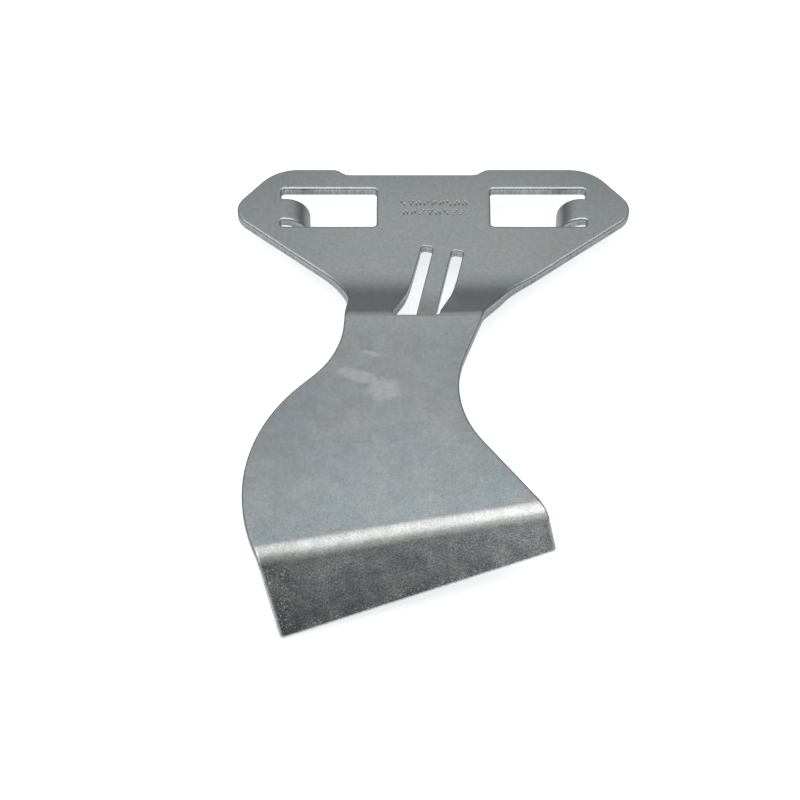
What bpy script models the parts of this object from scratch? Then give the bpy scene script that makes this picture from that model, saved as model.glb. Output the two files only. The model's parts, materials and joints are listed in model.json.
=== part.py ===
"""Hooked clamp bracket, pressed from one piece of zinc-plated steel sheet.

The flat blank is drawn first and then folded. Its coordinates are u, to the right of
the head's centre line, and s, down from the head's top edge. A third coordinate, n,
is the distance in front of the middle of the sheet. Sizes are in millimetres until a
vertex is placed. The finished part lies as it would on a bench, on the tips of both
tabs and on the long corner of the lip, with its origin below its middle.
"""
import math

import bmesh
import bpy
from mathutils import Matrix, Vector

MM = 0.001
THICKNESS = 3.0

# Head: slanted shoulders, blunt side tips, and a shallow recess in the top edge.
SHOULDER = (48.5, 0.0, 14.0)
TIP = (62.8, 17.6, 7.2)
RECESS_DEPTH = 2.2
RECESS_LEFT = 28.35
RECESS_RIGHT = 14.65
RECESS_FLANK = 1.45
RECESS_RADIUS = 4.0

# Windows, one on each side of the head. u is given for the right-hand one.
WINDOW_INNER = 17.4
WINDOW_OUTER = 46.7
WINDOW_TOP = 8.2
WINDOW_BOTTOM = 23.7
WINDOW_RADIUS = 1.2

# Tabs, lanced out of the windows' outer ends and curled behind the head.
TAB_TOP = 12.2
TAB_BOTTOM = 20.9
TAB_ROOT_FLAT = 1.3
TAB_LENGTH = 16.35
TAB_OUTER_RADIUS = 7.5
TAB_TIP_RADIUS = 1.5
TAB_ROOT_RADIUS = 0.7

# Neck and blade: corners of the outline with their radii.
LEFT_NECK = (-25.2, 49.7, 21.0)
LEFT_WAIST = (-27.2, 88.0, 30.0)
LEFT_BELLY = (-62.8, 124.4, 54.0)
RIGHT_NECK = (22.0, 50.8, 18.5)
RIGHT_WAIST = (2.7, 105.6, 33.5)
RIGHT_HIP = (30.8, 143.8, 13.0)

# Joggle: two opposite folds step the blade forward, parallel to the head.
JOGGLE_START = 42.5
JOGGLE_ANGLE = math.radians(34)
JOGGLE_INNER_RADIUS = 24.0
JOGGLE_RAMP = 13.0
JOGGLE_OUTER_RADIUS = 8.0

# Tongue: stays in the plane of the head, inside a U-shaped slot that leans left.
TONGUE_ROOT = (2.7, 32.9)
TONGUE_TILT = math.radians(11.3)
TONGUE_WIDTH = 5.7
TONGUE_LENGTH = 37.5
SLOT_WIDTH = 3.6
SLOT_END = 73.5
SLOT_FLARE = 0.6
SLOT_RADIUS = 1.2
TONGUE_RADIUS = 0.8

# Lip: folded back along a slanted line and cut off at a steeper slant.
LIP_START = 146.5
LIP_SLANT = math.radians(11.6)
LIP_ANGLE = math.radians(65)
LIP_OUTER_RADIUS = 6.5
LIP_LEFT = (-40.7, 184.1, 1.2)
LIP_RIGHT = (34.6, 155.0, 1.2)

ARC_STEP = math.radians(12)
ARC_SAG = 0.02
FOLD_STEP = math.radians(5.5)
TOUCHING = 0.01
CUT_TOLERANCE = 0.0001
SHARP_ANGLE = math.radians(30)

PLATING_COLOUR = (0.50, 0.52, 0.52, 1.0)
PLATING_ROUGHNESS = 0.38


class Fold:
    """A bend about a slanted line of the blank: back if angle > 0, else forward."""

    def __init__(self, point, slant, radius, angle):
        self.point = Vector(point)
        self.along = Vector((math.cos(slant), -math.sin(slant)))
        self.beyond = Vector((math.sin(slant), math.cos(slant)))
        self.radius = radius
        self.side = math.copysign(1, angle)
        self.angle = abs(angle)

    def bend(self, u, s, n):
        """Move a point of the blank that lies beyond the fold's line."""
        offset = Vector((u, s)) - self.point
        distance = offset.dot(self.beyond)
        if distance <= 0:
            return u, s, n
        turned = min(distance / self.radius, self.angle)
        straight = distance - self.radius * turned
        outward = self.radius + n * self.side
        reach = outward * math.sin(turned) + straight * math.cos(turned)
        rise = outward * math.cos(turned) - self.radius - straight * math.sin(turned)
        spot = self.point + self.along * offset.dot(self.along) + self.beyond * reach
        return spot.x, spot.y, rise * self.side

    def crease(self, sheet, faces):
        """Cut some of the flat sheet's faces along the lines that the fold needs."""
        steps = math.ceil(self.angle / FOLD_STEP)
        across = self.beyond.to_3d()
        for step in range(steps + 1):
            spot = self.point.to_3d() + across * (self.radius * self.angle * step / steps)
            edges = {edge for face in faces for edge in face.edges}
            verts = {vert for face in faces for vert in face.verts}
            cut = bmesh.ops.bisect_plane(
                sheet, geom=[*verts, *edges, *faces], dist=CUT_TOLERANCE,
                plane_co=spot, plane_no=across)
            faces = [item for item in cut["geom"] if isinstance(item, bmesh.types.BMFace)]


HALF = THICKNESS / 2
STEP_UP = Fold((0, JOGGLE_START), 0, JOGGLE_INNER_RADIUS + HALF, -JOGGLE_ANGLE)
STEP_BACK_START = JOGGLE_START + STEP_UP.radius * JOGGLE_ANGLE + JOGGLE_RAMP
STEP_BACK = Fold((0, STEP_BACK_START), 0, JOGGLE_OUTER_RADIUS - HALF, JOGGLE_ANGLE)
LIP_FOLD = Fold((0, LIP_START), LIP_SLANT, LIP_OUTER_RADIUS - HALF, LIP_ANGLE)
TAB_FOLD_U = WINDOW_OUTER - TAB_ROOT_FLAT
TAB_TIP_U = WINDOW_OUTER - TAB_LENGTH
TAB_FOLDS = {side: Fold((side * TAB_FOLD_U, TAB_TOP), -side * math.pi / 2,
                        TAB_OUTER_RADIUS - HALF, math.pi / 2) for side in (-1, 1)}
MAIN_FOLDS = (LIP_FOLD, STEP_BACK, STEP_UP)

TONGUE_DOWN = Vector((-math.sin(TONGUE_TILT), math.cos(TONGUE_TILT)))
TONGUE_ACROSS = Vector((math.cos(TONGUE_TILT), math.sin(TONGUE_TILT)))


def arc_steps(turn, radius):
    """How many straight edges make up an arc of the outline."""
    finest = 2 * math.acos(1 - ARC_SAG / radius)
    return math.ceil(abs(turn) / min(ARC_STEP, finest))


def rounded(corners):
    """Points of a closed outline whose corners (u, s, radius) are turned into arcs."""
    points = []
    for index, (u, s, radius) in enumerate(corners):
        corner = Vector((u, s))
        back = (Vector(corners[index - 1][:2]) - corner).normalized()
        ahead = (Vector(corners[(index + 1) % len(corners)][:2]) - corner).normalized()
        half = back.angle(ahead) / 2
        centre = corner + (back + ahead).normalized() * (radius / math.sin(half))
        first = corner + back * (radius / math.tan(half)) - centre
        turn = math.copysign(math.pi - 2 * half, ahead.cross(back))
        steps = arc_steps(turn, radius)
        for step in range(steps + 1):
            points.append(centre + Matrix.Rotation(turn * step / steps, 2) @ first)
    return points


def plate_outline():
    """Outer edge of the blank, clockwise from the left shoulder."""
    floor = RECESS_DEPTH
    recess = [
        (-RECESS_LEFT - RECESS_FLANK, 0.0, RECESS_RADIUS),
        (-RECESS_LEFT + RECESS_FLANK, floor, RECESS_RADIUS),
        (RECESS_RIGHT - RECESS_FLANK, floor, RECESS_RADIUS),
        (RECESS_RIGHT + RECESS_FLANK, 0.0, RECESS_RADIUS)]
    right = [SHOULDER, TIP, RIGHT_NECK, RIGHT_WAIST, RIGHT_HIP, LIP_RIGHT]
    left = [LIP_LEFT, LEFT_BELLY, LEFT_WAIST, LEFT_NECK]
    mirrored = [(-u, s, radius) for u, s, radius in (TIP, SHOULDER)]
    return rounded(recess + right + left + mirrored)


def window(side):
    """Window with its tab, which is still flat and joins the window's outer end."""
    corners = [
        (WINDOW_INNER, WINDOW_TOP, WINDOW_RADIUS),
        (WINDOW_OUTER, WINDOW_TOP, WINDOW_RADIUS),
        (WINDOW_OUTER, TAB_TOP, TAB_ROOT_RADIUS),
        (TAB_TIP_U, TAB_TOP, TAB_TIP_RADIUS),
        (TAB_TIP_U, TAB_BOTTOM, TAB_TIP_RADIUS),
        (WINDOW_OUTER, TAB_BOTTOM, TAB_ROOT_RADIUS),
        (WINDOW_OUTER, WINDOW_BOTTOM, WINDOW_RADIUS),
        (WINDOW_INNER, WINDOW_BOTTOM, WINDOW_RADIUS)]
    return rounded([(side * u, s, radius) for u, s, radius in corners])


def tongue_point(down, across):
    """Point of the blank at a distance down the tongue and across it."""
    return Vector(TONGUE_ROOT) + TONGUE_DOWN * down + TONGUE_ACROSS * across


def tongue_slot():
    """U-shaped slot around the tongue, whose closed end lies along the joggle."""
    inner = TONGUE_WIDTH / 2
    outer = inner + SLOT_WIDTH
    spots = [(0, -outer, SLOT_RADIUS)]
    for across in (-outer - SLOT_FLARE, outer):
        drop = SLOT_END - TONGUE_ROOT[1] - across * TONGUE_ACROSS.y
        spots.append((drop / TONGUE_DOWN.y, across, SLOT_RADIUS))
    spots += [
        (0, outer, SLOT_RADIUS), (0, inner, SLOT_RADIUS),
        (TONGUE_LENGTH, inner, TONGUE_RADIUS), (TONGUE_LENGTH, -inner, TONGUE_RADIUS),
        (0, -inner, SLOT_RADIUS)]
    return rounded([(*tongue_point(down, across), radius) for down, across, radius in spots])


def on_tab(u, s):
    """Whether a point lies on one of the two tabs."""
    along = TAB_TIP_U - TOUCHING < abs(u) < WINDOW_OUTER + TOUCHING
    return along and TAB_TOP - TOUCHING < s < TAB_BOTTOM + TOUCHING


def on_tongue(u, s):
    """Whether a point lies on the tongue, which no fold moves."""
    offset = Vector((u, s)) - Vector(TONGUE_ROOT)
    inside = abs(offset.dot(TONGUE_ACROSS)) < TONGUE_WIDTH / 2 + TOUCHING
    return inside and -TOUCHING < offset.dot(TONGUE_DOWN) < TONGUE_LENGTH + TOUCHING


def flat_blank():
    """The blank as a flat mesh, cut along the lines that its folds need."""
    sheet = bmesh.new()
    for outline in (plate_outline(), window(-1), window(1), tongue_slot()):
        ring = [sheet.verts.new((u, s, 0)) for u, s in outline]
        for index, vert in enumerate(ring):
            sheet.edges.new((ring[index - 1], vert))
    bmesh.ops.triangle_fill(sheet, edges=sheet.edges[:], use_beauty=True)
    for fold in MAIN_FOLDS:
        fold.crease(sheet, sheet.faces[:])
    for side, fold in TAB_FOLDS.items():
        bmesh.ops.bisect_plane(
            sheet, geom=[*sheet.verts, *sheet.edges, *sheet.faces], dist=CUT_TOLERANCE,
            plane_co=(side * WINDOW_OUTER, 0, 0), plane_no=(1, 0, 0))
        tab = [face for face in sheet.faces
               if on_tab(*face.calc_center_median().xy)
               and face.calc_center_median().x * side > 0]
        fold.crease(sheet, tab)
    return sheet


def folded(u, s, n):
    """Where a point of the blank ends up, as x, y, z in metres."""
    if on_tab(u, s):
        u, s, n = TAB_FOLDS[math.copysign(1, u)].bend(u, s, n)
    elif not on_tongue(u, s):
        for fold in MAIN_FOLDS:
            u, s, n = fold.bend(u, s, n)
    return Vector((u, -s, n)) * MM


def folded_sheet(sheet):
    """The folded bracket: a front and a back skin, joined by the cut edges."""
    solid = bmesh.new()
    front = {vert: solid.verts.new(folded(*vert.co.xy, HALF)) for vert in sheet.verts}
    back = {vert: solid.verts.new(folded(*vert.co.xy, -HALF)) for vert in sheet.verts}
    for face in sheet.faces:
        solid.faces.new([front[vert] for vert in face.verts])
        solid.faces.new([back[vert] for vert in reversed(face.verts)])
    for edge in sheet.edges:
        if edge.is_boundary:
            first, second = edge.verts
            solid.faces.new((front[first], front[second], back[second], back[first]))
    bmesh.ops.recalc_face_normals(solid, faces=solid.faces)
    return solid


def stand_on_origin(solid):
    """Move the bracket so that the origin is below the middle of its bounding box."""
    lows = [min(vert.co[axis] for vert in solid.verts) for axis in range(3)]
    highs = [max(vert.co[axis] for vert in solid.verts) for axis in range(3)]
    middle = Vector((lows[0] + highs[0], lows[1] + highs[1], 2 * lows[2])) / 2
    bmesh.ops.translate(solid, verts=solid.verts, vec=-middle)


def zinc_plating():
    """Satin zinc plating on steel."""
    material = bpy.data.materials.new("zinc_plated_steel")
    material.use_nodes = True
    shader = material.node_tree.nodes["Principled BSDF"]
    shader.inputs["Base Color"].default_value = PLATING_COLOUR
    shader.inputs["Metallic"].default_value = 1.0
    shader.inputs["Roughness"].default_value = PLATING_ROUGHNESS
    return material


def bracket_plate():
    """The whole bracket, as one object."""
    solid = folded_sheet(flat_blank())
    stand_on_origin(solid)
    mesh = bpy.data.meshes.new("bracket_plate")
    solid.to_mesh(mesh)
    mesh.materials.append(zinc_plating())
    mesh.shade_smooth()
    mesh.set_sharp_from_angle(angle=SHARP_ANGLE)
    bpy.context.collection.objects.link(bpy.data.objects.new("bracket_plate", mesh))


for leftover in list(bpy.data.objects):
    bpy.data.objects.remove(leftover)
bracket_plate()
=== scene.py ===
import json
import math
import random

import bmesh
import bpy
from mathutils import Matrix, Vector


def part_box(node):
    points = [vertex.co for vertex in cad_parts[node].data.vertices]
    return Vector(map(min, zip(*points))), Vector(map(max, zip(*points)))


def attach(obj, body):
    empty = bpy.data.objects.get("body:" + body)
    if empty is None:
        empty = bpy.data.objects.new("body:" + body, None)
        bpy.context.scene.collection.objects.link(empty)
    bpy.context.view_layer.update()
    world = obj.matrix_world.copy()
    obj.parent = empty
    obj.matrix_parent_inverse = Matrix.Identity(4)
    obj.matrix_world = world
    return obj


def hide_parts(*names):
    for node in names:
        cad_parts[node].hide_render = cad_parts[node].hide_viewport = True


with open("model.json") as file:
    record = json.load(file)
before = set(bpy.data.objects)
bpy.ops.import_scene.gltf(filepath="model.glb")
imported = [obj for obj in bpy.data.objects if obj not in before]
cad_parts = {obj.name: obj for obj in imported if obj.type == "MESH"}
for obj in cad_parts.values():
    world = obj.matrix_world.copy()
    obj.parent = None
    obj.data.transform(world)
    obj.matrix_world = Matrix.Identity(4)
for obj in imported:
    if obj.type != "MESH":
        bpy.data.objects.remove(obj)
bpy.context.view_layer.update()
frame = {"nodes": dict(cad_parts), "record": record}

MM = 0.001
NODE = "bracket_plate"
BODY = "root"

THICKNESS = 3.0 * MM
WELD = 0.06 * MM
FLAT_ANGLE = math.radians(0.3)
CREASE_ANGLE = math.radians(8)
CORNER_ANGLE = math.radians(45)
LIP_SLANT = math.radians(11.6)
FOLD_AXES = ((1, 0, 0), (0, 1, 0), (math.cos(LIP_SLANT), math.sin(LIP_SLANT), 0))
LIP_FOLD_START = -57.9 * MM
LIP_FOLD_END = -63.9 * MM
LIP_EDGE = -73.3 * MM
LIP_CUT_SLANT = math.radians(15.7)
LIP_CUT = -69.2 * MM
LIP_LEFT_END = -43.3 * MM
PARALLEL = 0.9999
LEVEL = 0.01 * MM
UPRIGHT = 0.9999
LARGE_FACE_WEIGHT = 90
WHITE = (1, 1, 1, 1)

# Cut edge, from the front to the back: a rolled arris that is wider than it is deep, a
# smooth sheared band, a rougher torn band that steps in a little, and a dressed burr.
# The narrow slot is rolled over less, and the lip is rounder.
ROLL = (0.88 * MM, 0.55 * MM)
SLOT_ROLL = (0.45 * MM, 0.38 * MM)
LIP_ROLL = (0.95 * MM, 0.80 * MM)
SHEARED_TO = 1.25 * MM
TORN_FROM = 1.45 * MM
TORN_STEP = 0.05 * MM
BURR_RADIUS = 0.18 * MM
ROLL_STEPS = 5
BURR_STEPS = 3
SKIN, SHEARED, TORN, ROLLED = range(4)

# Stamped marks: two rows, measured from the middle of the head and from its top edge.
MARK_AREA_SIZE = (24.0 * MM, 9.0 * MM)
MARK_AREA_MIDDLE = (0.2 * MM, 16.4 * MM)
MARK_GRID = 0.15 * MM
MARK_ROWS = ((-2.2 * MM, 9, 2.35 * MM), (1.6 * MM, 8, 2.5 * MM))
MARK_SIZE = (1.3 * MM, 2.0 * MM)
MARK_STROKE = 0.40 * MM
MARK_DEPTH = 0.16 * MM
MARK_RIM = 0.01 * MM
MARK_SEED = 4
MARK_SHAPES = (
    (((-0.9, -0.9), (-0.9, -0.1)), ((0, 0.5), (0, 0.7)), ((0.9, -0.7), (0.9, 0.2))),
    (((-0.8, 0.1), (-0.8, 0.9)), ((0.6, -0.9), (0.6, -0.3))),
    (((-0.7, 0.7), (-0.7, 0.9)), ((0.1, -0.9), (0.1, -0.1)), ((0.9, 0.2), (0.9, 0.9))),
    (((-0.9, -0.7), (-0.4, 0.3)), ((0.5, -0.2), (0.9, 0.8))),
    (((-0.8, -0.9), (-0.8, -0.7)), ((0, -0.1), (0, 0.1)), ((0.8, 0.7), (0.8, 0.9))),
    (((-0.7, -0.9), (-0.7, -0.1)), ((0.7, 0.2), (0.7, 0.9))),
)


# ---------------------------------------------------------------- plate

def in_order(solid, items):
    """Elements of a mesh in the mesh's own order, so that every run builds the same."""
    for elements in (solid.verts, solid.edges, solid.faces):
        elements.index_update()
    return sorted(items, key=lambda item: item.index)


def plain_copy(node):
    """The node's faces as one closed mesh."""
    solid = bmesh.new()
    verts = [solid.verts.new(vert.co) for vert in node.data.vertices]
    for polygon in node.data.polygons:
        solid.faces.new([verts[index] for index in polygon.vertices])
    bmesh.ops.remove_doubles(solid, verts=solid.verts, dist=WELD)
    bmesh.ops.recalc_face_normals(solid, faces=solid.faces)
    return solid


def smooth_regions(solid):
    """Faces grouped into the regions that the sharp edges divide, largest first."""
    regions = []
    left = set(solid.faces)
    while left:
        region = set()
        queue = [next(face for face in solid.faces if face in left)]
        while queue:
            face = queue.pop()
            if face in region:
                continue
            region.add(face)
            for edge in face.edges:
                if edge.calc_face_angle() < CORNER_ANGLE:
                    queue.extend(edge.link_faces)
        left -= region
        regions.append(region)
    return sorted(regions, key=lambda faces: -sum(face.calc_area() for face in faces))


def facing_up(faces):
    """How much area a region turns upwards."""
    return sum(face.calc_area() * face.normal.z for face in faces)


def along_fold(edge):
    """Whether an edge runs along the axis of one of the plate's folds."""
    way = (edge.verts[1].co - edge.verts[0].co).normalized()
    return any(abs(way.dot(Vector(axis))) > PARALLEL for axis in FOLD_AXES)


def dissolve_inside(solid, skin, angle, across_folds):
    """Join a skin's faces over its inner edges that are flatter than an angle."""
    edges = {edge for face in skin for edge in face.edges
             if all(link in skin for link in edge.link_faces)}
    verts = {vert for face in skin for vert in face.verts
             if all(link in skin for link in vert.link_faces)}
    bmesh.ops.dissolve_limit(
        solid, angle_limit=angle, verts=in_order(solid, verts),
        edges=[edge for edge in in_order(solid, edges) if along_fold(edge) == across_folds])


def open_skins(solid):
    """Front and back skins, kept whole between their creases. The rest are cut walls."""
    layer = solid.faces.layers.int.new("skin")
    skins = sorted(smooth_regions(solid)[:2], key=facing_up, reverse=True)
    for number, skin in enumerate(skins, 1):
        for face in skin:
            face[layer] = number
    for angle, across_folds in ((CREASE_ANGLE, False), (FLAT_ANGLE, True)):
        for number in (1, 2):
            skin = {face for face in solid.faces if face[layer] == number}
            dissolve_inside(solid, skin, angle, across_folds)
    return [{face for face in solid.faces if face[layer] == number} for number in (1, 2)]


def rim_edges(skin):
    """Edges that a skin shares with the cut walls."""
    return [edge for face in skin for edge in face.edges
            if any(link not in skin for link in edge.link_faces)]


def inward(vert, skin, rim):
    """Direction along a skin, from a vertex on its rim and at right angles to it."""
    first, second = [(edge.other_vert(vert).co - vert.co).normalized()
                     for edge in vert.link_edges if edge in rim]
    normal = sum((face.normal for face in vert.link_faces if face in skin), Vector())
    wall = sum((face.normal for face in vert.link_faces if face not in skin), Vector())
    across = (first - second).cross(normal).normalized()
    return -across if across.dot(wall) > 0 else across


def rim_loops(rim):
    """Vertices of each closed loop of a rim, with the longest loop first."""
    left = set(rim)
    loops = []
    while left:
        loop = {left.pop()}
        queue = list(loop)
        while queue:
            near = {edge for vert in queue.pop().verts for edge in vert.link_edges} & left
            left -= near
            loop |= near
            queue.extend(near)
        loops.append(loop)
    loops.sort(key=lambda loop: -sum(edge.calc_length() for edge in loop))
    return [{vert for edge in loop for vert in edge.verts} for loop in loops]


def past_fold(spot):
    """Place of a spot across the lip's slanted fold."""
    return spot.y * math.cos(LIP_SLANT) - spot.x * math.sin(LIP_SLANT)


def edge_profile(roll_width, roll_depth):
    """The cut edge's section: distance in from the wall, depth, and what follows."""
    points = []
    for step in range(ROLL_STEPS + 1):
        turn = math.pi / 2 * step / ROLL_STEPS
        surface = ROLLED if step < ROLL_STEPS else SHEARED
        points.append((roll_width * (1 - math.sin(turn)),
                       roll_depth * (1 - math.cos(turn)), surface))
    points.append((0.0, SHEARED_TO, TORN))
    points.append((TORN_STEP, TORN_FROM, TORN))
    for step in range(BURR_STEPS + 1):
        turn = math.pi / 2 * step / BURR_STEPS
        points.append((TORN_STEP + BURR_RADIUS * (1 - math.cos(turn)),
                       THICKNESS - BURR_RADIUS * (1 - math.sin(turn)), SKIN))
    return points


def rolled_plate(solid):
    """The same plate with its cut edges shaped as the press leaves them."""
    made = bmesh.new()
    skins = open_skins(solid)
    rims = [set(rim_edges(skin)) for skin in skins]
    front, back = [{vert for edge in rim for vert in edge.verts} for rim in rims]
    slot = rim_loops(rims[0])[1]
    profile, slot_profile, lip_profile = [
        edge_profile(*roll) for roll in (ROLL, SLOT_ROLL, LIP_ROLL)]
    rings = {}
    places = {}
    for vert in in_order(solid, front):
        facing = [edge.other_vert(vert) for edge in vert.link_edges
                  if edge.other_vert(vert) in back]
        partner = min(facing, key=lambda other: (other.co - vert.co).length)
        ways = inward(vert, skins[0], rims[0]), inward(partner, skins[1], rims[1])
        section = profile
        if vert in slot:
            section = slot_profile
        elif past_fold(vert.co) < LIP_FOLD_END:
            section = lip_profile
        ring = []
        for reach, depth, _ in section:
            share = depth / THICKNESS
            way = ways[0].lerp(ways[1], share).normalized()
            ring.append(made.verts.new(vert.co.lerp(partner.co, share) + way * reach))
        rings[vert] = ring
        places[vert], places[partner] = ring[0], ring[-1]
    for edge in in_order(solid, rims[0]):
        first, second = (rings[vert] for vert in edge.verts)
        for index, (_, _, surface) in enumerate(profile[:-1]):
            made.faces.new((first[index], second[index], second[index + 1],
                            first[index + 1])).material_index = surface
    for face in in_order(solid, skins[0] | skins[1]):
        for vert in face.verts:
            if vert not in places:
                places[vert] = made.verts.new(vert.co)
        made.faces.new([places[vert] for vert in face.verts])
    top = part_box(NODE)[1].z
    for vert in made.verts:
        vert.co.z = min(vert.co.z, top)
    bmesh.ops.recalc_face_normals(made, faces=made.faces)
    return made


def strokes():
    """Ends of every stroke of the stamped marks, from the middle of their area."""
    draw = random.Random(MARK_SEED)
    lines = []
    for down, count, pitch in MARK_ROWS:
        for place in range(count):
            middle = Vector(((place - (count - 1) / 2) * pitch, -down))
            for ends in draw.choice(MARK_SHAPES):
                lines.append([
                    middle + Vector((x * MARK_SIZE[0], y * MARK_SIZE[1])) / 2
                    for x, y in ends])
    return lines


def distance_to(spot, line):
    """Distance from a spot to a stroke, which may be a single dot."""
    first, along = line[0], line[1] - line[0]
    share = 0.0
    if along.length_squared > 0:
        share = min(max((spot - first).dot(along) / along.length_squared, 0.0), 1.0)
    return (spot - first - along * share).length


def mark_height(spot, lines):
    """Height of the stamped head at a spot: sunk under a stroke, raised beside it."""
    near = min(distance_to(spot, line) for line in lines) / MARK_STROKE
    if near < 1:
        return MARK_RIM - (MARK_DEPTH + MARK_RIM) * (1 + math.cos(math.pi * near)) / 2
    return MARK_RIM * max(0.0, 2 - near)


def mark_patch(solid, middle):
    """A fine grid with the marks in it. Returns the edges round it."""
    counts = [round(size / MARK_GRID) for size in MARK_AREA_SIZE]
    lines = strokes()
    sunk = solid.verts.layers.float.new("sunk")
    rows = []
    for down in range(counts[1] + 1):
        row = []
        for across in range(counts[0] + 1):
            spot = Vector((across - counts[0] / 2, counts[1] / 2 - down)) * MARK_GRID
            inside = 0 < down < counts[1] and 0 < across < counts[0]
            height = mark_height(spot, lines) if inside else 0.0
            vert = solid.verts.new(middle + Vector((*spot, height)))
            vert[sunk] = max(0.0, -height / MARK_DEPTH)
            row.append(vert)
        rows.append(row)
    faces = []
    for upper, lower in zip(rows, rows[1:]):
        for index in range(counts[0]):
            faces.append(solid.faces.new(
                (upper[index], lower[index], lower[index + 1], upper[index + 1])))
    return [edge for face in faces for edge in face.edges if edge.is_boundary]


def stamp_head(solid):
    """Replace the flat front of the head by one that holds the patch with the marks."""
    mount = next(m for m in frame["record"]["mounts"] if m["name"] == "head_front")
    level = mount["pos_m"][2]
    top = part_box(NODE)[1].y
    flat = [face for face in solid.faces if face.normal.z > UPRIGHT
            and abs(face.calc_center_median().z - level) < LEVEL]
    bmesh.ops.delete(solid, geom=flat, context="FACES")
    rim = [edge for edge in solid.edges if edge.is_boundary]
    middle = Vector((MARK_AREA_MIDDLE[0], top - MARK_AREA_MIDDLE[1], level))
    rim += mark_patch(solid, middle)
    made = bmesh.ops.triangle_fill(
        solid, edges=rim, use_beauty=True, normal=(0, 0, 1))["geom"]
    for item in made:
        if isinstance(item, bmesh.types.BMFace):
            item.material_index = SKIN


def pressed_plate():
    """The visible bracket, in place of the CAD node."""
    solid = rolled_plate(plain_copy(frame["nodes"][NODE]))
    stamp_head(solid)
    bmesh.ops.recalc_face_normals(solid, faces=solid.faces)
    mesh = bpy.data.meshes.new("pressed_plate")
    solid.to_mesh(mesh)
    mesh.shade_smooth()
    plate = bpy.data.objects.new("pressed_plate", mesh)
    bpy.context.collection.objects.link(plate)
    normals = plate.modifiers.new("even_shading", "WEIGHTED_NORMAL")
    normals.weight = LARGE_FACE_WEIGHT
    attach(plate, BODY)
    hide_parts(NODE)
    return plate


# ---------------------------------------------------------------- materials

# Colours of the plating, in the order in which they are laid over one another.
HEAD_COOL = (0.440, 0.465, 0.475, 1)
HEAD_WARM = (0.460, 0.465, 0.455, 1)
BLADE_COOL = (0.425, 0.475, 0.495, 1)
BLADE_WARM = (0.465, 0.490, 0.490, 1)
BEND_TONE = (0.478, 0.478, 0.462, 1)
WIPED_TONE = (0.63, 0.62, 0.63, 1)
LIP_DARK = (0.31, 0.32, 0.33, 1)
LIP_LIGHT = (0.46, 0.46, 0.45, 1)
# The tongue's end gets a painted shadow in this colour.
TONGUE_SHADOW_TONE = (0.345, 0.335, 0.33, 1)
# Dark in the marks' strokes: dirt in the grooves and painted shade.
MARK_DIRT_AND_SHADE = (0.17, 0.175, 0.175, 1)
PIT_TONE = (0.22, 0.22, 0.22, 1)
# Near white, for the painted glints along the lip's cut edges.
EDGE_GLINT_TONE = (0.95, 0.95, 0.94, 1)

# Sizes of the plating's clouds, flecks, grain and rolling lines.
CLOUD_SIZE = 15 * MM
VEIL_SIZE = 4 * MM
PATCH_SIZE = 5 * MM
GRAIN_SIZE = 0.38 * MM
COARSE_SIZE = 0.75 * MM
MOTTLE_SIZE = 1.3 * MM
PIT_SIZE = 0.6 * MM
EDGE_GLINT_SIZE = 0.55 * MM
ROLLING_SIZE = 0.5 * MM
ROLLING_STRETCH = (1, 40, 40)
WAVE_SIZE = 9 * MM

# The part of a noise that counts: wide for soft clouds, narrow and high for rare flecks.
SOFT_SPAN = (0.3, 0.7)
CLOUD_SPAN = (0.36, 0.66)
VEIL_SPAN = (0.34, 0.66)
PATCH_SPAN = (0.32, 0.68)
PIT_SPAN = (0.62, 0.70)
EDGE_GLINT_SPAN = (0.58, 0.66)
NICK_SPAN = (0.35, 0.65)

# Brightness from the bottom to the top of such a part.
VEIL_TONES = (0.955, 1.055)
GRAIN_TONES = (0.6, 1.4)
MOTTLE_TONES = (0.94, 1.06)

# How much of a colour is laid on, and how the grain's contrast grows down the blade.
WIPED_SHARE = 0.75
MARK_SHARE = 0.62
PIT_SHARE = 0.5
EDGE_GLINT_SHARE = 0.8
GRIT_ON_HEAD = 0.10
GRIT_ON_BLADE = 0.38
GRIT_ON_LIP = 0.5
GRIT_GROWTH = 3.0

# Where the plating changes: as a share of the half length, across the slanted fold, in
# from the lip's cut edges, and over the depth of a mark.
BLADE_FROM = 0.2
BEND_SPAN = (LIP_FOLD_START * 0.98, LIP_FOLD_START * 1.03)
LIP_SPAN = (LIP_FOLD_END * 0.97, LIP_FOLD_END * 1.02)
PITS_BEGIN = (LIP_FOLD_START * 0.7, LIP_FOLD_START * 0.95)
PITS_STOP = (LIP_FOLD_START, LIP_FOLD_START * 1.03)
GLINTS_BELOW = 2.4 * MM
GLINTS_LEFT = 7 * MM
SUNK_SPAN = (0.05, 0.7)

# Darker and lighter parts, painted into the colour. The blade's upper part is painted
# shade;
# the head is darker at its ends and top, the blade at its sides and the lip at its left
# corner, and the lip is lighter to the right. Each row says where the change starts and
# ends, as shares of a size of the plate, and how bright the plating is at both places.
HEAD_ENDS = (0.3, 0.95, 1.0, 0.87)
HEAD_TOP = (0.72, 1.0, 1.0, 0.88)
BLADE_LEFT = (-0.85, -0.2, 0.88, 1.0)
BLADE_RIGHT = (0.0, 0.3, 1.0, 0.90)
BLADE_UPPER_SHADE = (0.9, 0.2, 1.0, 0.90)
LIP_ACROSS = (-0.2, 0.5, 0.90, 1.28)
LIP_CORNER = (1.0, 0.75, 0.72, 1.0)

# The blade's darker right side comes in above the fold, and the lip has a painted
# highlight that grows from its edge to the fold.
ABOVE_FOLD = (LIP_FOLD_START, LIP_FOLD_START * 0.7)
LIP_HIGHLIGHT_GLOW = (0.74, 1.20)

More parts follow.
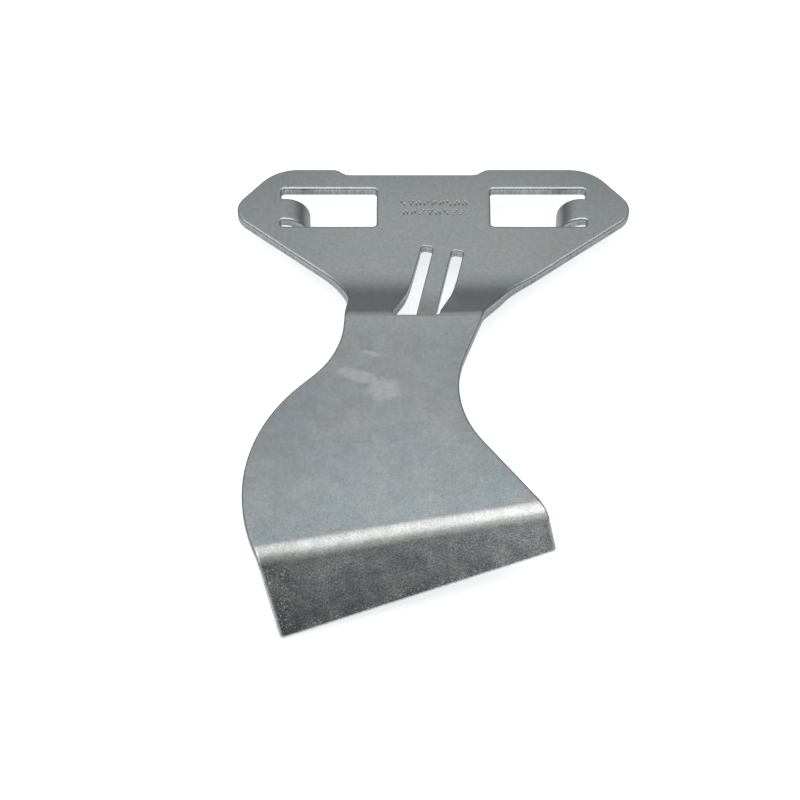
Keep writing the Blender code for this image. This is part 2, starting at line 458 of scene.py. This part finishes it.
# Roughness of the plating, and the height of its waves, grain and pitted lip.
SATIN = 0.38
SATIN_CHANGE = (-0.03, 0.03)
WAVE_HEIGHT = 0.05 * MM
GRAIN_HEIGHT = 0.05 * MM
COARSE_HEIGHT = 0.20 * MM

# The tongue's end, under the blade: where its painted shadow starts and ends, and the level
# of its face.
TONGUE_SHADOW_FROM = 36.0 * MM
TONGUE_SHADOW_TO = 27.5 * MM
TONGUE_TOP = 13.6 * MM

# Pale wiped patches on the blade: middle, half lengths and turn. Their borders are ragged.
SMEARS = (((-22.0 * MM, -9.3 * MM), (6.2 * MM, 2.0 * MM), math.radians(-16)),
          ((-14.8 * MM, -14.6 * MM), (4.6 * MM, 4.4 * MM), math.radians(-40)),
          ((-18.5 * MM, -1.0 * MM), (3.2 * MM, 0.9 * MM), math.radians(-15)))
SMEAR_BORDER = (0.7, 1.25)
RAGGED_SIZE = 3.5 * MM
RAGGED_REACH = 1.6

# Rolled arris: plain colours, and on the lip rubbed colours that also carry a painted
# highlight, from the dark to the light ends of the nicks.
ARRIS_PLAIN = ((0.36, 0.37, 0.38, 1), (0.50, 0.51, 0.52, 1))
ARRIS_RUBBED_AND_HIGHLIT = ((0.60, 0.60, 0.60, 1), (0.98, 0.98, 0.97, 1))
ARRIS_ROUGHNESS = (0.36, 0.30)
NICK_SIZE = 0.5 * MM
NICK_HEIGHT = 0.06 * MM

# Cut walls: name, dark and light colours, roughness and depth of the scores.
SHEARED_BAND = ("zinc_on_sheared_band",
                (0.40, 0.42, 0.43, 1), (0.56, 0.58, 0.59, 1), 0.36, 0.04 * MM)
TORN_BAND = ("zinc_on_torn_band",
             (0.34, 0.36, 0.36, 1), (0.54, 0.56, 0.56, 1), 0.48, 0.12 * MM)
SCORE_SIZE = 0.3 * MM
SCORE_STRETCH = (1, 1, 14)
SCORE_ROUGHNESS = 0.06


class Nodes:
    """Short calls for building a material's nodes."""

    def __init__(self, name):
        self.material = bpy.data.materials.new(name)
        self.material.use_nodes = True
        self.tree = self.material.node_tree
        self.shader = self.tree.nodes["Principled BSDF"]
        self.place = self.add("ShaderNodeTexCoord").outputs["Object"]

    def add(self, kind, **settings):
        node = self.tree.nodes.new(kind)
        for name, value in settings.items():
            setattr(node, name, value)
        return node

    def link(self, value, socket):
        if isinstance(value, bpy.types.NodeSocket):
            self.tree.links.new(value, socket)
        else:
            socket.default_value = value

    def math(self, operation, first, second=0.0, clamp=False):
        node = self.add("ShaderNodeMath", operation=operation, use_clamp=clamp)
        self.link(first, node.inputs[0])
        self.link(second, node.inputs[1])
        return node.outputs[0]

    def noise(self, size, detail=3.0, stretch=(1, 1, 1), shift=(0, 0, 0)):
        """Noise whose features have a size in metres, stretched along the axes."""
        scale = [1 / (size * share) for share in stretch]
        mapping = self.add("ShaderNodeMapping")
        mapping.inputs["Scale"].default_value = scale
        mapping.inputs["Location"].default_value = shift
        self.link(self.place, mapping.inputs["Vector"])
        node = self.add("ShaderNodeTexNoise")
        node.inputs["Scale"].default_value = 1.0
        node.inputs["Detail"].default_value = detail
        self.link(mapping.outputs[0], node.inputs["Vector"])
        return node.outputs["Fac"]

    def ramp(self, value, low, high, start=0.0, end=1.0):
        node = self.add("ShaderNodeMapRange", interpolation_type="SMOOTHSTEP")
        self.link(value, node.inputs["Value"])
        for name, number in (("From Min", low), ("From Max", high),
                             ("To Min", start), ("To Max", end)):
            node.inputs[name].default_value = number
        return node.outputs["Result"]

    def mix(self, share, first, second, blend="MIX"):
        node = self.add("ShaderNodeMix", data_type="RGBA", blend_type=blend)
        self.link(share, node.inputs["Factor"])
        self.link(first, node.inputs[6])
        self.link(second, node.inputs[7])
        return node.outputs[2]

    def bump(self, height, distance, strength=1.0, before=None):
        node = self.add("ShaderNodeBump")
        node.inputs["Distance"].default_value = distance
        self.link(strength, node.inputs["Strength"])
        self.link(height, node.inputs["Height"])
        if before:
            self.link(before, node.inputs["Normal"])
        return node.outputs["Normal"]


def blend(n, share, first, second):
    """A number between two others."""
    node = n.add("ShaderNodeMix", data_type="FLOAT")
    for value, socket in zip((share, first, second), (0, 2, 3)):
        n.link(value, node.inputs[socket])
    return node.outputs[0]


def shaded(n, value, size, row):
    """Brightness along a value, by one of the rows above and the size it refers to."""
    start, end, *tones = row
    return n.ramp(value, size * start, size * end, *tones)


def painted_light_and_tone(n, x, y, fold):
    """Share of the plating's brightness: painted shade on the upper blade, a painted
    highlight on the lip by its fold, and darker ends, sides and corners.
    """
    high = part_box(NODE)[1]
    head = n.math("MULTIPLY", shaded(n, n.math("ABSOLUTE", x), high.x, HEAD_ENDS),
                  shaded(n, y, high.y, HEAD_TOP))
    right = shaded(n, x, high.x, BLADE_RIGHT)
    right = blend(n, n.ramp(fold, *ABOVE_FOLD), 1.0, right)
    blade = n.math("MULTIPLY", shaded(n, x, high.x, BLADE_LEFT), right)
    blade = n.math("MULTIPLY", blade, shaded(n, fold, LIP_FOLD_START, BLADE_UPPER_SHADE))
    lip = n.math("MULTIPLY", shaded(n, x, high.x, LIP_ACROSS),
                 shaded(n, x, LIP_LEFT_END, LIP_CORNER))
    lip = n.math("MULTIPLY", lip, n.ramp(fold, LIP_EDGE, LIP_FOLD_END, *LIP_HIGHLIGHT_GLOW))
    blade = blend(n, n.ramp(fold, LIP_FOLD_START, LIP_FOLD_END), blade, lip)
    return blend(n, n.ramp(y, high.y * BLADE_FROM, 0.0), head, blade)


def tongue_shadow(n, y, z):
    """Mask of the painted shadow on the tongue's lower part, which is level with the head
    under the blade.
    """
    down = n.ramp(y, TONGUE_SHADOW_FROM, TONGUE_SHADOW_TO)
    level = n.math("LESS_THAN", z, TONGUE_TOP)
    level = n.math("MULTIPLY", level, n.math("GREATER_THAN", y, 0.0))
    return n.math("MULTIPLY", down, level)


def smears(n):
    """Mask of the pale wiped patches on the blade, with ragged borders."""
    ragged = n.math("SUBTRACT", n.noise(RAGGED_SIZE, 4.0), 0.5)
    ragged = n.math("MULTIPLY", ragged, RAGGED_REACH)
    masks = []
    for spot, size, turn in SMEARS:
        mapping = n.add("ShaderNodeMapping", vector_type="TEXTURE")
        mapping.inputs["Location"].default_value = (*spot, 0)
        mapping.inputs["Rotation"].default_value = (0, 0, turn)
        mapping.inputs["Scale"].default_value = (*size, 1)
        n.link(n.place, mapping.inputs["Vector"])
        away = n.add("ShaderNodeVectorMath", operation="LENGTH")
        n.link(mapping.outputs[0], away.inputs[0])
        away = n.math("ADD", away.outputs["Value"], ragged)
        masks.append(n.ramp(away, *SMEAR_BORDER, 1.0, 0.0))
    mask = masks[0]
    for other in masks[1:]:
        mask = n.math("MAXIMUM", mask, other)
    return mask


def across_line(n, x, y, slant):
    """Place across a line that is slanted in plan."""
    return n.math("SUBTRACT", n.math("MULTIPLY", y, math.cos(slant)),
                  n.math("MULTIPLY", x, math.sin(slant)))


def clouds(n, y, fold, down):
    """Cool and warm clouds, warmer at the bend, under a faint veil on the blade."""
    cloud = n.ramp(n.noise(CLOUD_SIZE, 2.0), *CLOUD_SPAN)
    cool = n.mix(down, HEAD_COOL, BLADE_COOL)
    warm = n.mix(down, HEAD_WARM, BLADE_WARM)
    tone = n.mix(n.ramp(fold, *BEND_SPAN), n.mix(cloud, cool, warm), BEND_TONE)
    veil = n.ramp(n.noise(VEIL_SIZE, 5.0, shift=(2, 0, 0)), *VEIL_SPAN, *VEIL_TONES)
    blade = n.ramp(y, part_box(NODE)[1].y * BLADE_FROM, 0.0)
    return n.mix(blade, tone, n.mix(1.0, tone, veil, "MULTIPLY"))


def pits(n, fold):
    """Mask of the dark pits just above the fold."""
    mask = n.ramp(n.noise(PIT_SIZE, 2.0, shift=(5, 1, 0)), *PIT_SPAN)
    near = n.math("MULTIPLY", n.ramp(fold, *PITS_BEGIN), n.ramp(fold, *PITS_STOP, 1.0, 0.0))
    return n.math("MULTIPLY", mask, near)


def edge_glints(n, x, y, lip):
    """Mask of the painted glints: near-white flecks along the lip's cut edges."""
    cut = across_line(n, x, y, LIP_CUT_SLANT)
    rim = n.math("MAXIMUM", n.ramp(cut, LIP_CUT + GLINTS_BELOW, LIP_CUT),
                 n.ramp(x, LIP_LEFT_END + GLINTS_LEFT, LIP_LEFT_END))
    mask = n.ramp(n.noise(EDGE_GLINT_SIZE, 2.0, shift=(0, 3, 7)), *EDGE_GLINT_SPAN)
    return n.math("MULTIPLY", n.math("MULTIPLY", mask, rim), lip)


def zinc():
    """Satin zinc plating: cloudy, faintly rolled, and grainier towards the lip."""
    n = Nodes("zinc_plated_sheet")
    split = n.add("ShaderNodeSeparateXYZ")
    n.link(n.place, split.inputs[0])
    x, y, z = split.outputs
    fold = across_line(n, x, y, LIP_SLANT)
    down = n.ramp(fold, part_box(NODE)[1].y * BLADE_FROM, LIP_FOLD_END)
    lip = n.ramp(fold, *LIP_SPAN)

    # Colour: clouds, wiped patches, the patchy lip, darker parts with painted shade and a
    # painted highlight, a painted shadow on the tongue's end, and dark stamped marks with
    # dirt and painted shade.
    tone = clouds(n, y, fold, down)
    tone = n.mix(n.math("MULTIPLY", smears(n), WIPED_SHARE), tone, WIPED_TONE)
    patchy = n.ramp(n.noise(PATCH_SIZE, 4.0), *PATCH_SPAN)
    tone = n.mix(lip, tone, n.mix(patchy, LIP_DARK, LIP_LIGHT))
    # Painted shade on the upper blade and a painted highlight on the lip by its fold; the
    # other parts are only darker or lighter.
    tone = n.mix(1.0, tone, painted_light_and_tone(n, x, y, fold), "MULTIPLY")
    # Painted shadow on the tongue's end, where it runs under the blade.
    tone = n.mix(tongue_shadow(n, y, z), tone, TONGUE_SHADOW_TONE)
    sunk = n.add("ShaderNodeAttribute", attribute_name="sunk").outputs["Fac"]
    # The strokes are darkened: dirt in the grooves, and painted shade that also mutes the
    # highlights on their slopes.
    tone = n.mix(n.ramp(sunk, *SUNK_SPAN, 0.0, MARK_SHARE), tone, MARK_DIRT_AND_SHADE)

    # Grain: fine specks whose contrast grows down the blade and again on the lip.
    grain = n.noise(GRAIN_SIZE, 2.0)
    grit = n.math("MULTIPLY", n.math("POWER", down, GRIT_GROWTH), GRIT_ON_BLADE)
    grit = n.math("ADD", grit, GRIT_ON_HEAD)
    grit = n.math("ADD", grit, n.math("MULTIPLY", lip, GRIT_ON_LIP), clamp=True)
    specks = n.ramp(grain, *SOFT_SPAN, *GRAIN_TONES)
    tone = n.mix(grit, tone, n.mix(1.0, tone, specks, "MULTIPLY"))
    mottle = n.ramp(n.noise(MOTTLE_SIZE, 3.0), *SOFT_SPAN, *MOTTLE_TONES)
    tone = n.mix(1.0, tone, mottle, "MULTIPLY")
    tone = n.mix(n.math("MULTIPLY", pits(n, fold), PIT_SHARE), tone, PIT_TONE)
    # Painted glints: near-white flecks along the lip's cut edges.
    tone = n.mix(n.math("MULTIPLY", edge_glints(n, x, y, lip), EDGE_GLINT_SHARE), tone, EDGE_GLINT_TONE)

    # Surface: rolling lines in the gloss, shallow waves, grain, and a coarser lip.
    rolling = n.noise(ROLLING_SIZE, 2.0, stretch=ROLLING_STRETCH)
    rough = n.math("ADD", n.ramp(rolling, *SOFT_SPAN, *SATIN_CHANGE), SATIN)
    bumpy = n.bump(n.noise(WAVE_SIZE, 1.0), WAVE_HEIGHT)
    bumpy = n.bump(grain, GRAIN_HEIGHT, grit, bumpy)
    bumpy = n.bump(n.noise(COARSE_SIZE, 3.0), COARSE_HEIGHT, lip, bumpy)
    n.link(tone, n.shader.inputs["Base Color"])
    n.link(1.0, n.shader.inputs["Metallic"])
    n.link(rough, n.shader.inputs["Roughness"])
    n.link(bumpy, n.shader.inputs["Normal"])
    return n.material


def rolled_edge():
    """Plating on the rolled arris, nicked here and there, rubbed and painted bright as a
    highlight on the lip.
    """
    n = Nodes("zinc_on_rolled_edge")
    split = n.add("ShaderNodeSeparateXYZ")
    n.link(n.place, split.inputs[0])
    fold = across_line(n, split.outputs["X"], split.outputs["Y"], LIP_SLANT)
    rubbed_and_highlit = n.ramp(fold, LIP_FOLD_START, LIP_FOLD_END)
    nick = n.noise(NICK_SIZE, 3.0)
    worn = n.ramp(nick, *NICK_SPAN)
    # On the lip the arris is lighter: rubbed plating and a painted highlight.
    tone = n.mix(rubbed_and_highlit, n.mix(worn, *ARRIS_PLAIN), n.mix(worn, *ARRIS_RUBBED_AND_HIGHLIT))
    n.link(tone, n.shader.inputs["Base Color"])
    n.link(1.0, n.shader.inputs["Metallic"])
    n.link(n.ramp(nick, *NICK_SPAN, *ARRIS_ROUGHNESS), n.shader.inputs["Roughness"])
    n.link(n.bump(nick, NICK_HEIGHT), n.shader.inputs["Normal"])
    return n.material


def cut_wall(name, dark, light, roughness, depth):
    """Plating over a cut wall, with short scores through the sheet's thickness."""
    n = Nodes(name)
    score = n.noise(SCORE_SIZE, 3.0, stretch=SCORE_STRETCH)
    gloss = n.ramp(score, *SOFT_SPAN,
                   roughness + SCORE_ROUGHNESS, roughness - SCORE_ROUGHNESS)
    n.link(n.mix(n.ramp(score, *SOFT_SPAN), dark, light), n.shader.inputs["Base Color"])
    n.link(1.0, n.shader.inputs["Metallic"])
    n.link(gloss, n.shader.inputs["Roughness"])
    n.link(n.bump(score, depth), n.shader.inputs["Normal"])
    return n.material


# ---------------------------------------------------------------- studio

# The floor: its half size, two near whites in wide clouds, and a glow of its own that keeps
# the part's shadow faint.
FLOOR_HALF = 6.0
FLOOR_COOL = (0.86, 0.865, 0.87, 1)
FLOOR_WARM = (0.88, 0.88, 0.88, 1)
FLOOR_CLOUD = 60 * MM
FLOOR_ROUGHNESS = 0.9
FLOOR_GLOW = 0.62

# One softbox overhead, in front of the part and aimed straight down.
OVERHEAD_PLACE = (-0.08, -0.14, 1.2)
OVERHEAD_AIM = (-0.08, -0.14, 0)
OVERHEAD_SIZE = (1.9, 1.14)
OVERHEAD_POWER = 8.9

# Brightness of the room that the plating mirrors, from straight down to straight up, and
# its faint blue tint.
ROOM_TONES = ((-1.0, 0.88), (-0.6, 0.74), (-0.3, 0.38), (0.0, 0.165),
              (0.28, 0.27), (0.50, 0.58), (0.80, 0.61), (1.0, 0.61))
ROOM_TINT = (0.97, 1.0, 1.02)
ROOM_LEFT = 1.1
ROOM_RIGHT = 0.9

# Dark flags at both sides, above the horizon, and a glow at the sides just below it: how
# far to the side they start, and how high they begin and end.
SIDE_SPAN = (0.38, 0.60)
FLAG_FOOT = (0.02, 0.18)
FLAG_HEAD = (0.44, 0.62)
FLAG_SHADE = 0.75
GLOW_HEAD = (0.06, -0.12)
GLOW_FOOT = (-0.35, -0.65)
SIDE_GLOW = 0.22

CAMERA_ELEVATION = math.radians(51)
CAMERA_TARGET = (-0.0102, -0.0080, 0.0131)
CAMERA_DISTANCE = 0.870
CAMERA_LENS = 135


def floor():
    """A plain white floor, which the plating doesn't mirror."""
    mesh = bpy.data.meshes.new("studio_floor")
    corners = [(x * FLOOR_HALF, y * FLOOR_HALF, 0)
               for x, y in ((-1, -1), (1, -1), (1, 1), (-1, 1))]
    mesh.from_pydata(corners, [], [(0, 1, 2, 3)])
    board = bpy.data.objects.new("studio_floor", mesh)
    bpy.context.collection.objects.link(board)
    n = Nodes("studio_white")
    paper = n.mix(n.noise(FLOOR_CLOUD, 2.0), FLOOR_COOL, FLOOR_WARM)
    n.link(paper, n.shader.inputs["Base Color"])
    n.link(FLOOR_ROUGHNESS, n.shader.inputs["Roughness"])
    n.link(WHITE, n.shader.inputs["Emission Color"])
    n.link(FLOOR_GLOW, n.shader.inputs["Emission Strength"])
    mesh.materials.append(n.material)
    board.visible_glossy = False


def softbox(name, place, aim, size, power):
    """A rectangular area light, turned to its aim."""
    light = bpy.data.lights.new(name, "AREA")
    light.shape = "RECTANGLE"
    light.size, light.size_y = size
    light.energy = power
    lamp = bpy.data.objects.new(name, light)
    lamp.location = place
    turn = Vector(aim) - Vector(place)
    lamp.rotation_euler = turn.to_track_quat("-Z", "Y").to_euler()
    bpy.context.collection.objects.link(lamp)


class RoomNodes(Nodes):
    """The same calls for the world's nodes."""

    def __init__(self, world):
        world.use_nodes = True
        self.tree = world.node_tree
        self.shader = self.tree.nodes["Background"]
        self.place = self.add("ShaderNodeTexCoord").outputs["Generated"]


def room_tone(n, x, z):
    """Brightness of the room in a direction, from its rise and its side."""
    rise = n.add("ShaderNodeMapRange")
    rise.inputs["From Min"].default_value = -1
    n.link(z, rise.inputs["Value"])
    tones = n.add("ShaderNodeValToRGB")
    stops = tones.color_ramp.elements
    while len(stops) < len(ROOM_TONES):
        stops.new(0.5)
    for stop, (height, tone) in zip(stops, ROOM_TONES):
        stop.position = (height + 1) / 2
        stop.color = (*(tone * tint for tint in ROOM_TINT), 1)
    n.link(rise.outputs["Result"], tones.inputs["Fac"])

    side = n.ramp(n.math("ABSOLUTE", x), *SIDE_SPAN)
    flag = n.math("MULTIPLY", n.ramp(z, *FLAG_FOOT), n.ramp(z, *FLAG_HEAD, 1.0, 0.0))
    shade = n.ramp(n.math("MULTIPLY", side, flag), 0.0, 1.0, 1.0, FLAG_SHADE)
    glow = n.math("MULTIPLY", n.ramp(z, *GLOW_HEAD), n.ramp(z, *GLOW_FOOT, SIDE_GLOW, 0.0))
    glow = n.math("MULTIPLY", side, glow)
    across = n.add("ShaderNodeMapRange")
    across.inputs["From Min"].default_value = -1
    across.inputs["To Min"].default_value = ROOM_LEFT
    across.inputs["To Max"].default_value = ROOM_RIGHT
    n.link(x, across.inputs["Value"])
    tone = n.mix(1.0, tones.outputs["Color"], shade, "MULTIPLY")
    tone = n.mix(1.0, tone, across.outputs["Result"], "MULTIPLY")
    return n.mix(1.0, tone, glow, "ADD")


def surroundings():
    """The room: white to the camera, and bands of grey to the plating."""
    world = bpy.data.worlds.new("studio_room")
    bpy.context.scene.world = world
    n = RoomNodes(world)
    split = n.add("ShaderNodeSeparateXYZ")
    n.link(n.place, split.inputs[0])
    seen = n.add("ShaderNodeLightPath").outputs["Is Camera Ray"]
    tone = room_tone(n, split.outputs["X"], split.outputs["Z"])
    n.link(n.mix(seen, tone, WHITE), n.shader.inputs["Color"])


def camera():
    """The photograph's view: from the front, looking down from above the lip."""
    data = bpy.data.cameras.new("camera")
    data.lens = CAMERA_LENS
    eye = bpy.data.objects.new("camera", data)
    back = Vector((0, -math.cos(CAMERA_ELEVATION), math.sin(CAMERA_ELEVATION)))
    eye.location = Vector(CAMERA_TARGET) + back * CAMERA_DISTANCE
    eye.rotation_euler = (math.pi / 2 - CAMERA_ELEVATION, 0, 0)
    bpy.context.collection.objects.link(eye)
    bpy.context.scene.camera = eye


camera()
plate = pressed_plate()
for material in (zinc(), cut_wall(*SHEARED_BAND), cut_wall(*TORN_BAND), rolled_edge()):
    plate.data.materials.append(material)
floor()
surroundings()
softbox("overhead", OVERHEAD_PLACE, OVERHEAD_AIM, OVERHEAD_SIZE, OVERHEAD_POWER)
bpy.context.scene.view_settings.view_transform = "Standard"
